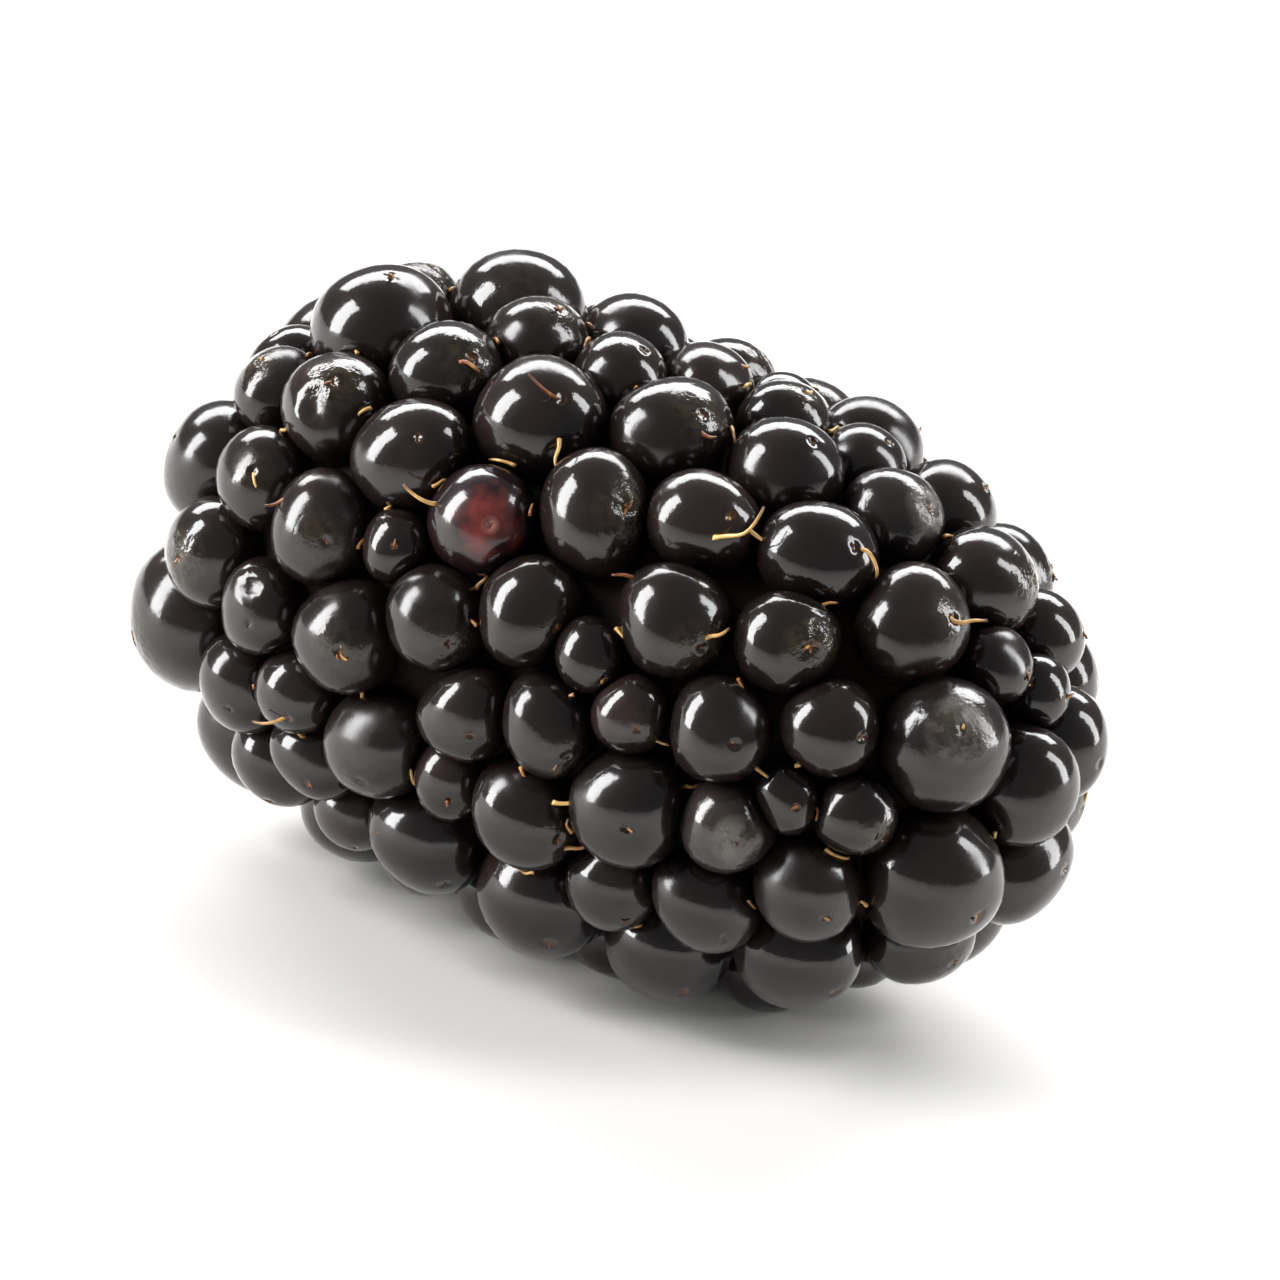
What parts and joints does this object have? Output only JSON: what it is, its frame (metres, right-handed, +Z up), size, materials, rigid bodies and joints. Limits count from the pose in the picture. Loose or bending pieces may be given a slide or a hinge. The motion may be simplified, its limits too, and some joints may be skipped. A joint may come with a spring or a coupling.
{
  "type": "bramble berry",
  "caption": "Ripe bramble berry lying on its side: glossy round drupelets packed over a firm core, blunt at the stem end and tapered at the tip.",
  "frame": {"origin": "on the surface that the berry rests on, under the middle of its bounding box", "axes": "+X along the berry from the stem end to the tip, +Z up from the surface it rests on, -Y towards the near side"},
  "size_m": [0.035, 0.0226, 0.0222],
  "materials": {
    "drupelet_skin": "gloss",
    "ripening_skin": "gloss",
    "receptacle_flesh": "satin",
    "dried_styles": "satin"
  },
  "bodies": {
    "root": {"berry": "drupelet_skin"}
  },
  "joints": []
}
